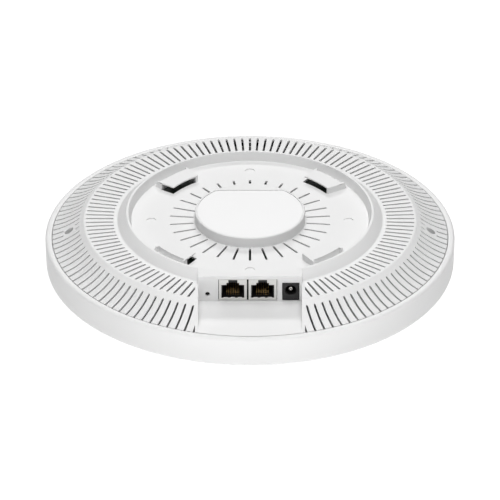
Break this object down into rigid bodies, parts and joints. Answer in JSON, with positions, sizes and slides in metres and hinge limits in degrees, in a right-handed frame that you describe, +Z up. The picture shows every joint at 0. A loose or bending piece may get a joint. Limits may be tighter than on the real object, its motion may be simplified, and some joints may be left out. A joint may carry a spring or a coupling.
{
  "type": "ceiling access point",
  "caption": "Round white ceiling access point with a domed front, a vented rear cover with bayonet hooks for a twist-on bracket, and a bay with network and power connectors.",
  "frame": {"origin": "on the axis, in the plane of the lip that meets the ceiling bracket", "axes": "+Z up, out of the rear cover towards the ceiling; the connectors face -Y; +X to the right seen from the connectors"},
  "size_m": [0.243, 0.243, 0.064],
  "materials": {
    "white_plastic": "fine matt moulded",
    "label_film": "matt printed film, left blank",
    "tinned_sheet": "tinned",
    "black_plastic": "satin moulded",
    "gold_plating": "gold plated",
    "nickel_plating": "bright",
    "screw_steel": "zinc plated",
    "board_laminate": "solder resist",
    "heat_sink_aluminium": "extruded",
    "pad_silicone": "soft",
    "antenna_sheet": "stamped",
    "clear_plastic": "clear moulded",
    "led_lens": "clear",
    "capacitor_can": "sleeveless can",
    "ferrite": "matt",
    "chip_resin": "matt moulded"
  },
  "bodies": {
    "unit": {"board_screws": "screw_steel", "cover_screws": "screw_steel", "electrolytic_capacitor_1": "capacitor_can", "electrolytic_capacitor_2": "capacitor_can", "electrolytic_capacitor_3": "capacitor_can", "flash_chip": "chip_resin", "front_cover": "white_plastic", "heat_sink": "heat_sink_aluminium", "heat_sink_screws": "screw_steel", "high_band_antenna_1": "antenna_sheet", "high_band_antenna_2": "antenna_sheet", "high_band_antenna_3": "antenna_sheet", "light_pipe": "clear_plastic", "low_band_antenna_1": "antenna_sheet", "low_band_antenna_2": "antenna_sheet", "main_board": "board_laminate", "memory_chip_1": "chip_resin", "memory_chip_2": "chip_resin", "network_port_contacts_1": "gold_plating", "network_port_contacts_2": "gold_plating", "network_port_insert_1": "black_plastic", "network_port_insert_2": "black_plastic", "network_port_shield_1": "tinned_sheet", "network_port_shield_2": "tinned_sheet", "network_transformer_1": "chip_resin", "network_transformer_2": "chip_resin", "poe_bridge": "chip_resin", "poe_transformer": "ferrite", "power_inductor_1": "ferrite", "power_inductor_2": "ferrite", "power_jack_body": "black_plastic", "power_jack_contact": "nickel_plating", "power_jack_pin": "nickel_plating", "processor_chip": "chip_resin", "radio_chip_1": "chip_resin", "radio_chip_2": "chip_resin", "radio_shield_1": "tinned_sheet", "radio_shield_2": "tinned_sheet", "radio_shield_3": "tinned_sheet", "rating_label": "label_film", "rear_cover": "white_plastic", "reset_switch_body": "black_plastic", "status_led": "led_lens", "thermal_pads": "pad_silicone"},
    "reset_button": {"reset_button": "black_plastic"}
  },
  "joints": [
    {"name": "reset_press", "type": "slide", "parent": "unit", "child": "reset_button", "axis": [0, 1, 0], "range_m": [0, 0.0003], "stiffness_N_per_m": 2000, "springref_m": -0.0004}
  ]
}
